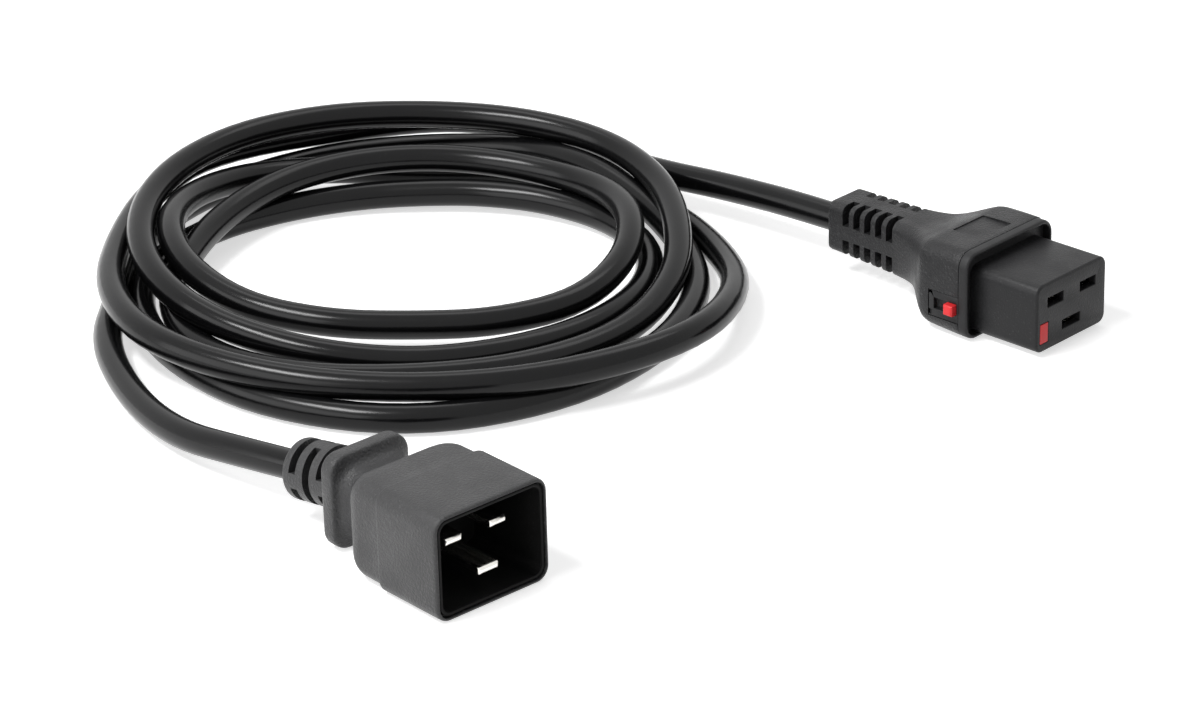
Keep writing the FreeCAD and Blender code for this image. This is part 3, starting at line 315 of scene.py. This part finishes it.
def rounded_outline(low_side, high_side, low, high, corner):
    """Points of a rectangle with round corners, the same number for every size."""
    points = []
    for side, top, start in ((high_side, high, 0), (low_side, high, 90), (low_side, low, 180),
                             (high_side, low, 270)):
        centre = (side - math.copysign(corner, side - (low_side + high_side) / 2),
                  top - math.copysign(corner, top - (low + high) / 2))
        for step in range(corner_steps + 1):
            turn = math.radians(start + 90 * step / corner_steps)
            points.append((centre[0] + corner * math.cos(turn), centre[1] + corner * math.sin(turn)))
    spaced = []
    for number, point in enumerate(points):
        spaced.append(point)
        if number % (corner_steps + 1) == corner_steps:
            after = points[(number + 1) % len(points)]
            spaced += [tuple(a + (b - a) * step / flat_steps for a, b in zip(point, after))
                       for step in range(1, flat_steps)]
    return spaced


def lofted(name, rings, closed=False):
    """A closed mesh through rings of points in millimetres, capped at its ends or joined round."""
    work = bmesh.new()
    rows = [[work.verts.new([number / 1000 for number in point]) for point in ring] for ring in rings]
    pairs = list(zip(rows, rows[1:])) + ([(rows[-1], rows[0])] if closed else [])
    for row, after in pairs:
        for number in range(len(row)):
            onward = (number + 1) % len(row)
            work.faces.new((row[number], row[onward], after[onward], after[number]))
    if not closed:
        work.faces.new(rows[0])
        work.faces.new(rows[-1][::-1])
    bmesh.ops.recalc_face_normals(work, faces=work.faces)
    mesh = bpy.data.meshes.new(name)
    work.to_mesh(mesh)
    work.free()
    piece = bpy.data.objects.new(name, mesh)
    scene.collection.objects.link(piece)
    return piece


def smoothed(cuts, most):
    """More cuts between the given ones, so that the shape runs on smoothly."""
    rows = []
    for number, (here, after) in enumerate(zip(cuts, cuts[1:])):
        count = max(1, math.ceil(abs(after[0] - here[0]) / most))
        columns = list(zip(*cuts))
        for step in range(count):
            part = step / count
            rows.append([here[0] + (after[0] - here[0]) * part] +
                        [between(column, number + part) for column in columns[1:]])
    return rows + [list(cuts[-1])]


longest_step = 1.2
skin = lofted("collar_and_boot", [[(cut[0], *point) for point in rounded_outline(*cut[1:])]
                                  for cut in smoothed(skin_cuts, longest_step)])

# the slots are cut by Geometry Nodes: rows of square frames with the cord's own sleeve left in
slot_rows = bpy.data.node_groups.new("boot slots", "GeometryNodeTree")
slot_inputs = [("First slot", -48.2), ("Pitch", 3.75), ("Rows", 5), ("Slot width", 2.2),
               ("Boot width", 20.0), ("Top strip", 4.8), ("Side strip", 4.0),
               ("Sleeve across", 8.6), ("Cord height", 12.8)]
slot_rows.interface.new_socket("Geometry", in_out="INPUT", socket_type="NodeSocketGeometry")
for title, start in slot_inputs:
    kind = "NodeSocketInt" if isinstance(start, int) else "NodeSocketFloat"
    slot_rows.interface.new_socket(title, in_out="INPUT", socket_type=kind).default_value = start
slot_rows.interface.new_socket("Finish", in_out="INPUT", socket_type="NodeSocketMaterial")
slot_rows.interface.new_socket("Geometry", in_out="OUTPUT", socket_type="NodeSocketGeometry")
taken, given = slot_rows.nodes.new("NodeGroupInput"), slot_rows.nodes.new("NodeGroupOutput")


def metres(name):
    """One of the tree's inputs, turned from millimetres to metres."""
    return made(slot_rows, "ShaderNodeMath", [("operation", "MULTIPLY")], _0=taken.outputs[name],
                _1=0.001).outputs[0]


def vector(x=0.0, y=0.0, z=0.0):
    """A vector from three numbers or sockets."""
    return made(slot_rows, "ShaderNodeCombineXYZ", X=x, Y=y, Z=z).outputs[0]


wide = metres("Boot width")
frame_block = made(slot_rows, "GeometryNodeMeshCube", Size=vector(metres("Slot width"), wide, wide))
top_bar = made(slot_rows, "GeometryNodeMeshCube", Size=vector(wide, metres("Top strip"), wide))
side_bar = made(slot_rows, "GeometryNodeMeshCube", Size=vector(wide, wide, metres("Side strip")))
half_sleeve = made(slot_rows, "ShaderNodeMath", [("operation", "MULTIPLY")], _0=metres("Sleeve across"),
                   _1=0.5)
sleeve = made(slot_rows, "GeometryNodeMeshCylinder", Vertices=40, Radius=half_sleeve.outputs[0],
              Depth=wide)
laid = made(slot_rows, "GeometryNodeTransform", Geometry=sleeve.outputs["Mesh"],
            Rotation=(0, math.pi / 2, 0))
cutter = made(slot_rows, "GeometryNodeMeshBoolean", [("operation", "DIFFERENCE"), ("solver", "EXACT")],
              Mesh_1=frame_block.outputs["Mesh"])
for tool in (top_bar.outputs["Mesh"], side_bar.outputs["Mesh"], laid.outputs["Geometry"]):
    slot_rows.links.new(tool, cutter.inputs["Mesh 2"])
cutter.inputs["Self Intersection"].default_value = True
row_line = made(slot_rows, "GeometryNodeMeshLine", Count=taken.outputs["Rows"],
                Start_Location=vector(metres("First slot"), 0.0, metres("Cord height")),
                Offset=vector(metres("Pitch")))
rows = made(slot_rows, "GeometryNodeInstanceOnPoints", Points=row_line.outputs["Mesh"],
            Instance=cutter.outputs["Mesh"])
real_rows = made(slot_rows, "GeometryNodeRealizeInstances", Geometry=rows.outputs["Instances"])
slotted = made(slot_rows, "GeometryNodeMeshBoolean", [("operation", "DIFFERENCE"), ("solver", "EXACT")],
               Mesh_1=taken.outputs["Geometry"])
slot_rows.links.new(real_rows.outputs["Geometry"], slotted.inputs["Mesh 2"])
whole = made(slot_rows, "GeometryNodeRealizeInstances", Geometry=slotted.outputs["Mesh"])
painted = made(slot_rows, "GeometryNodeSetMaterial", Geometry=whole.outputs["Geometry"],
               Material=taken.outputs["Finish"])
slot_rows.links.new(painted.outputs["Geometry"], given.inputs["Geometry"])

skin_finish = moulded_finish("grained rubber", (0.014, 0.014, 0.015, 1),
                             grain_size=1500.0, patch_size=120.0, rough=0.4, rough_spread=0.1,
                             dust_and_sheen=0.12, bump=1.0, shine=0.27)


def with_nodes(piece, tree, **numbers):
    """Run a Geometry Nodes tree on a piece and keep its result as the piece's own mesh."""
    step = piece.modifiers.new("made", "NODES")
    step.node_group = tree
    for socket in tree.interface.items_tree:
        title = socket.name.replace(" ", "_")
        if socket.in_out == "INPUT" and title in numbers:
            step[socket.identifier] = numbers[title]
    result = bpy.data.meshes.new_from_object(piece.evaluated_get(bpy.context.evaluated_depsgraph_get()))
    piece.modifiers.remove(step)
    piece.data = result
    return piece


def cut_out(piece, low, high):
    """Take a box, given by two corners in millimetres, out of a piece."""
    work = bmesh.new()
    bmesh.ops.create_cube(work, size=1)
    for vertex in work.verts:
        vertex.co = [(a + b) / 2000 + side * (b - a) / 1000 for a, b, side in zip(low, high, vertex.co)]
    tool_mesh = bpy.data.meshes.new("tool")
    work.to_mesh(tool_mesh)
    work.free()
    tool = bpy.data.objects.new("tool", tool_mesh)
    scene.collection.objects.link(tool)
    step = piece.modifiers.new("cut", "BOOLEAN")
    step.solver = "EXACT"
    step.object = tool
    result = bpy.data.meshes.new_from_object(piece.evaluated_get(bpy.context.evaluated_depsgraph_get()))
    piece.modifiers.remove(step)
    piece.data = result
    bpy.data.objects.remove(tool)


def softened(piece, width, steps=2, angle=38):
    """Round a piece's sharp edges by a width in millimetres and smooth its shading."""
    edge = piece.modifiers.new("soft edges", "BEVEL")
    edge.width = width / 1000
    edge.segments = steps
    edge.limit_method = "ANGLE"
    edge.angle_limit = math.radians(angle)
    edge.use_clamp_overlap = True
    edge.harden_normals = True
    piece.data.shade_smooth()


with_nodes(skin, slot_rows, Finish=skin_finish)
label_low, label_high = (-12.9, -6.5, 23.45), (-3.7, 5.7, 26.0)
cut_out(skin, label_low, label_high)
guide_low, guide_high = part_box("button_guide")
guide_fit, past_side, guide_inside, ring_back = 0.15, -25, -17.0, -1.2
cut_out(skin, (guide_low[0] * 1000 - guide_fit, past_side, guide_low[2] * 1000 - guide_fit),
        (ring_back, guide_inside, guide_high[2] * 1000 + guide_fit))
skin.data.materials.clear()
skin.data.materials.append(skin_finish)
softened(skin, 0.22)
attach(skin, "connector")
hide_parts("connector_overmould")


# ---------------------------------------------------------------- collar's front ring
# The hard carrier's front ring, smooth black plastic, shows at the collar's front: a rounded lip,
# then a deep groove that runs round the nose.
ring_side, ring_low, ring_high, ring_corner = (-18.2, 16.5), 0.3, 23.9, 4.2
nose_low, nose_high = [[number * 1000 for number in corner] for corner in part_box("nose_housing")]
nose_corner = 2.6
ring_rings = []
for x, inset in ((-1.5, 0.25), (-1.3, 0.0), (0.5, 0.0), (0.85, 0.1), (1.1, 0.3), (1.2, 0.6),
                 (1.15, 0.9), (0.9, 1.1), (-1.0, 1.2)):
    ring_rings.append([(x, *point) for point in rounded_outline(
        ring_side[0] + inset, ring_side[1] - inset, ring_low + inset, ring_high - inset,
        ring_corner - inset)])
nose_fit = 0.02
for x in (-1.0, -1.5):
    ring_rings.append([(x, *point) for point in rounded_outline(
        nose_low[1] - nose_fit, nose_high[1] + nose_fit, nose_low[2] - nose_fit,
        nose_high[2] + nose_fit, nose_corner)])
ring = lofted("front_ring", ring_rings, closed=True)
ring_finish = moulded_finish("smooth ring plastic", (0.016, 0.016, 0.017, 1),
                             grain_size=2200.0, patch_size=160.0, rough=0.46, rough_spread=0.07,
                             dust_and_sheen=0.05, bump=0.2, shine=0.26)
ring.data.materials.append(ring_finish)
softened(ring, 0.12, 2, 50)
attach(ring, "connector")
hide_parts("collar_carrier")


# ---------------------------------------------------------------- nose
# The hard nose that enters the outlet: a smooth black block with three slots in its face, a
# small window for the red tab, and edges just broken by the mould.
def edge_softened_copy(name, node, width, steps, finish, body, angle=30):
    """A CAD piece's own shape with its edges rounded, in place of that piece."""
    mesh = nodes[node].data.copy()
    work = bmesh.new()
    work.from_mesh(mesh)
    bmesh.ops.remove_doubles(work, verts=work.verts, dist=1e-6)
    bmesh.ops.dissolve_limit(work, angle_limit=math.radians(0.6), verts=work.verts, edges=work.edges)
    work.to_mesh(mesh)
    work.free()
    mesh.materials.clear()
    mesh.materials.append(finish)
    piece = bpy.data.objects.new(name, mesh)
    scene.collection.objects.link(piece)
    softened(piece, width, steps, angle)
    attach(piece, body)
    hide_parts(node)
    return piece


nose_finish = moulded_finish("satin nose plastic", (0.016, 0.016, 0.017, 1),
                             grain_size=1800.0, patch_size=140.0, rough=0.4, rough_spread=0.07,
                             dust_and_sheen=0.06, bump=0.28, shine=0.22)
edge_softened_copy("nose", "nose_housing", 0.25, 3, nose_finish, "connector")


# ---------------------------------------------------------------- release button
# The hard guide plate let into the collar's side, and the red slider that runs in it: its button
# stands proud of the guide, and its tab shows in the nose's face. Pulled back, it frees the lock.
edge_softened_copy("button_guide_plate", "button_guide", 0.15, 2, ring_finish, "connector")
red_finish = moulded_finish("red moulded plastic", (0.78, 0.03, 0.035, 1),
                            grain_size=2000.0, patch_size=220.0, rough=0.38, rough_spread=0.06,
                            dust_and_sheen=0.0, bump=0.15, shine=0.35)
edge_softened_copy("red_slider", "release_slider", 0.2, 3, red_finish, "slider")


# ---------------------------------------------------------------- plug
# The C20 plug at the cord's far end, moulded in grained black plastic round a hard insert: a
# shroud with a stepped block behind it, a waist and flange to grip, and a round slotted boot.
plug_place = Matrix.Translation((0.00837, -0.19315, 0)) @ Matrix.Rotation(math.radians(-4.55), 4, "Z")
plug_axis = 13.06
plug_cuts = [
    # distance from the rim, width, height, corner, middle height
    (-26.9, 30.6, 23.8, 2.8, 0), (-1.5, 30.6, 23.8, 2.8, 0), (-1.5, 31.3, 24.5, 2.8, 0),
    (-0.15, 31.3, 24.5, 2.8, 0), (0.0, 31.5, 24.7, 2.9, 0),
    (-0.06, 32.1, 25.3, 3.2, 0), (-0.3, 32.6, 25.8, 3.5, 0), (-0.7, 32.88, 26.04, 3.6, 0),
    (-1.4, 32.9, 26.1, 3.6, 0), (-20.3, 32.9, 26.1, 3.6, 0), (-20.75, 32.7, 25.9, 3.6, 0),
    (-21.0, 32.2, 25.4, 3.5, 0), (-21.1, 31.8, 24.9, 3.4, -0.02), (-21.6, 31.6, 24.6, 3.4, -0.1),
    (-24.5, 31.6, 24.6, 3.4, -0.1), (-27.6, 31.6, 24.6, 3.5, -0.1), (-28.5, 31.6, 24.6, 3.7, -0.12),
    (-29.4, 31.4, 24.5, 4.0, -0.15), (-30.4, 31.0, 24.3, 4.4, -0.2), (-31.4, 30.2, 23.8, 4.8, -0.25),
    (-32.5, 28.6, 22.8, 5.1, -0.3), (-33.6, 26.2, 21.4, 5.2, -0.35), (-34.6, 23.4, 19.8, 5.2, -0.4),
    (-35.6, 21.0, 18.2, 5.1, -0.45), (-36.6, 19.6, 17.2, 5.0, -0.5), (-37.6, 19.0, 16.8, 5.0, -0.5),
    (-39.4, 18.9, 16.7, 5.0, -0.5),
    (-40.8, 19.0, 17.1, 5.0, -0.6), (-41.8, 19.4, 18.2, 4.9, -0.8), (-42.4, 20.2, 20.0, 4.8, -0.9),
    (-42.75, 21.4, 21.9, 4.6, -0.95), (-42.95, 22.2, 22.9, 4.5, -0.95),
    (-43.15, 22.65, 23.4, 4.4, -0.95),
    (-43.5, 22.9, 23.7, 4.4, -0.95), (-44.3, 23.0, 23.8, 4.3, -0.95), (-46.4, 22.9, 23.7, 4.3, -0.95),
    (-46.85, 22.6, 23.4, 4.2, -0.95), (-47.1, 22.1, 22.9, 4.0, -0.95), (-47.2, 21.5, 22.3, 3.8, -0.95),
]
plug_finish = moulded_finish("grained plug plastic", (0.03, 0.03, 0.031, 1),
                             grain_size=1500.0, patch_size=110.0, rough=0.38, rough_spread=0.09,
                             dust_and_sheen=0.14, bump=1.0, shine=0.38)
shell = lofted("plug_shell", [[(cut[0], *point) for point in rounded_outline(
    -cut[1] / 2, cut[1] / 2, plug_axis + cut[4] - cut[2] / 2, plug_axis + cut[4] + cut[2] / 2, cut[3])]
    for cut in plug_cuts])
shell.data.transform(plug_place)
shell.data.materials.append(plug_finish)
softened(shell, 0.1, 2, 50)
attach(shell, "connector")

# the boot: a round sleeve that leans down to the cord, with slots over and under it in its first
# and last rows and at its sides in the middle row
boot_start, boot_end = Vector((-47.2, 0, 13.06)), Vector((-65.6, -2.2, 11.06))
boot_way = (boot_end - boot_start).normalized()
boot_long = (boot_end - boot_start).length
boot_front_across, boot_rear_across, boot_floor_across = 15.4, 14.8, 10.4
boot_slot, boot_pitch, boot_first, boot_sweep = 2.2, 4.6, 3.6, 150
boot_level = boot_way.cross(Vector((0, 0, 1))).normalized()
boot_up = boot_level.cross(boot_way)
boot_points = 144
slot_spans = []
for row in (2, 1, 0):
    row_middle = boot_long - boot_first - row * boot_pitch
    slot_spans.append((row_middle - boot_slot / 2, row_middle + boot_slot / 2, 90 * (row % 2)))
stations = [(-1.5, None, 0), (0, None, 0)]
for start, end, turned in slot_spans:
    stations += [(start, None, 0), (start + 0.05, turned, 0), (end - 0.05, turned, 0), (end, None, 0)]
stations += [(boot_long - 0.9, None, 0), (boot_long - 0.45, None, 0.12), (boot_long - 0.15, None, 0.4),
             (boot_long, None, 0.85)]
boot_rings = []
for along, turned, inset in stations:
    across_here = boot_front_across + (boot_rear_across - boot_front_across) * along / boot_long
    radius = across_here / 2 - inset
    ring_points = []
    for number in range(boot_points):
        angle = 360 * number / boot_points
        in_slot = turned is not None and abs((angle - turned + 90) % 180 - 90) < boot_sweep / 2
        reach = boot_floor_across / 2 if in_slot else radius
        turn = math.radians(angle)
        outward = boot_up * math.cos(turn) + boot_level * math.sin(turn)
        ring_points.append(boot_start + boot_way * along + outward * reach)
    boot_rings.append(ring_points)
boot = lofted("plug_boot", boot_rings)
boot.data.transform(plug_place)
boot.data.materials.append(plug_finish)
softened(boot, 0.15, 2, 50)
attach(boot, "connector")
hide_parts("plug_overmould")
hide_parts("plug_overmould")

insert_finish = moulded_finish("black insert plastic", (0.004, 0.004, 0.004, 1),
                               grain_size=2200.0, patch_size=160.0, rough=0.55, rough_spread=0.06,
                               dust_and_sheen=0.03, bump=0.15, shine=0.12)
insert = edge_softened_copy("plug_cup", "plug_insert", 0.18, 2, insert_finish, "connector")


# ---------------------------------------------------------------- pins
# Three flat pins of nickel-plated brass stand in the plug's cup, chamfered at their tips; the
# earth pin is wider and reaches further out.
def metal_finish(name, colour, rough, streaks):
    """Plated or bare metal with fine drawn streaks along X and cloudy tarnish."""
    finish = bpy.data.materials.new(name)
    finish.use_nodes = True
    tree = finish.node_tree
    shade = tree.nodes["Principled BSDF"]
    shade.inputs["Metallic"].default_value = 1.0
    surface = tree.nodes.new("ShaderNodeGroup")
    surface.node_tree = drawn
    for title, value in (("Colour", colour), ("Roughness", rough), ("Streaks", streaks)):
        surface.inputs[title].default_value = value
    relief = tree.nodes.new("ShaderNodeBump")
    relief.inputs["Strength"].default_value = 0.15
    relief.inputs["Distance"].default_value = 0.00005
    tree.links.new(surface.outputs["Colour"], shade.inputs["Base Color"])
    tree.links.new(surface.outputs["Roughness"], shade.inputs["Roughness"])
    tree.links.new(surface.outputs["Height"], relief.inputs["Height"])
    tree.links.new(relief.outputs["Normal"], shade.inputs["Normal"])
    return finish


drawn, taken, given = group_of("drawn metal", [("Colour", (0.7, 0.7, 0.7, 1)), ("Roughness", 0.25),
                                               ("Streaks", 900.0)],
                               [("Colour", "NodeSocketColor"), ("Roughness", "NodeSocketFloat"),
                                ("Height", "NodeSocketFloat")])
place = made(drawn, "ShaderNodeTexCoord")
along_x = made(drawn, "ShaderNodeMapping", Vector=place.outputs["Object"], Scale=(0.05, 1.0, 1.0))
streak = made(drawn, "ShaderNodeTexNoise", Vector=along_x.outputs[0], Scale=taken.outputs["Streaks"],
              Detail=3.0)
cloud = made(drawn, "ShaderNodeTexNoise", Vector=place.outputs["Object"], Scale=260.0, Detail=2.0)
dull = made(drawn, "ShaderNodeMapRange", Value=cloud.outputs["Fac"], From_Min=0.45, From_Max=0.75,
            To_Min=0.0, To_Max=0.35)
tarnished = made(drawn, "ShaderNodeMix", [("data_type", "RGBA")], _0=dull.outputs[0],
                 _6=taken.outputs["Colour"], _7=(0.32, 0.29, 0.25, 1))
swing = made(drawn, "ShaderNodeMapRange", Value=streak.outputs["Fac"], From_Min=0.3, From_Max=0.7,
             To_Min=-0.07, To_Max=0.07)
rougher = made(drawn, "ShaderNodeMath", [("operation", "ADD")], _0=swing.outputs[0],
               _1=taken.outputs["Roughness"])
drawn.links.new(tarnished.outputs[2], given.inputs["Colour"])
drawn.links.new(rougher.outputs[0], given.inputs["Roughness"])
drawn.links.new(streak.outputs["Fac"], given.inputs["Height"])
nickel = metal_finish("nickel plate", (0.86, 0.84, 0.8, 1), 0.2, 1400.0)
pins = [edge_softened_copy("pin_" + name, "plug_pin_" + name, 0.4, 3, nickel, "connector")
        for name in ("line", "neutral", "earth")]


# ---------------------------------------------------------------- inside the connector
# The pieces behind the nose and in the plug, which show only through the slots: folded contacts,
# the lock's steel clip and spring, the retainer plate, and the three coloured cores.
spring_metal = metal_finish("spring steel", (0.55, 0.55, 0.57, 1), 0.32, 900.0)
inner_finishes = {"contact_metal": nickel, "spring_steel": spring_metal,
                  "hard_plastic": insert_finish}
for name, colour in (("brown", (0.16, 0.06, 0.03, 1)), ("blue", (0.03, 0.1, 0.42, 1)),
                     ("green", (0.16, 0.42, 0.05, 1))):
    inner_finishes["core_" + name] = moulded_finish(
        name + " core", colour, grain_size=1500.0, patch_size=200.0, rough=0.4, rough_spread=0.06,
        dust_and_sheen=0.02, bump=0.1, shine=0.4)
inner_nodes = {"contact_line": "contact_metal", "contact_neutral": "contact_metal",
               "contact_earth": "contact_metal", "lock_clip": "spring_steel",
               "slider_spring": "spring_steel", "contact_retainer": "hard_plastic"}
for name, colour in (("line", "core_brown"), ("neutral", "core_blue"), ("earth", "core_green")):
    inner_nodes["core_" + name] = colour
    inner_nodes["plug_core_" + name] = colour
for node, slot in inner_nodes.items():
    nodes[node].material_slots[0].material = inner_finishes[slot]
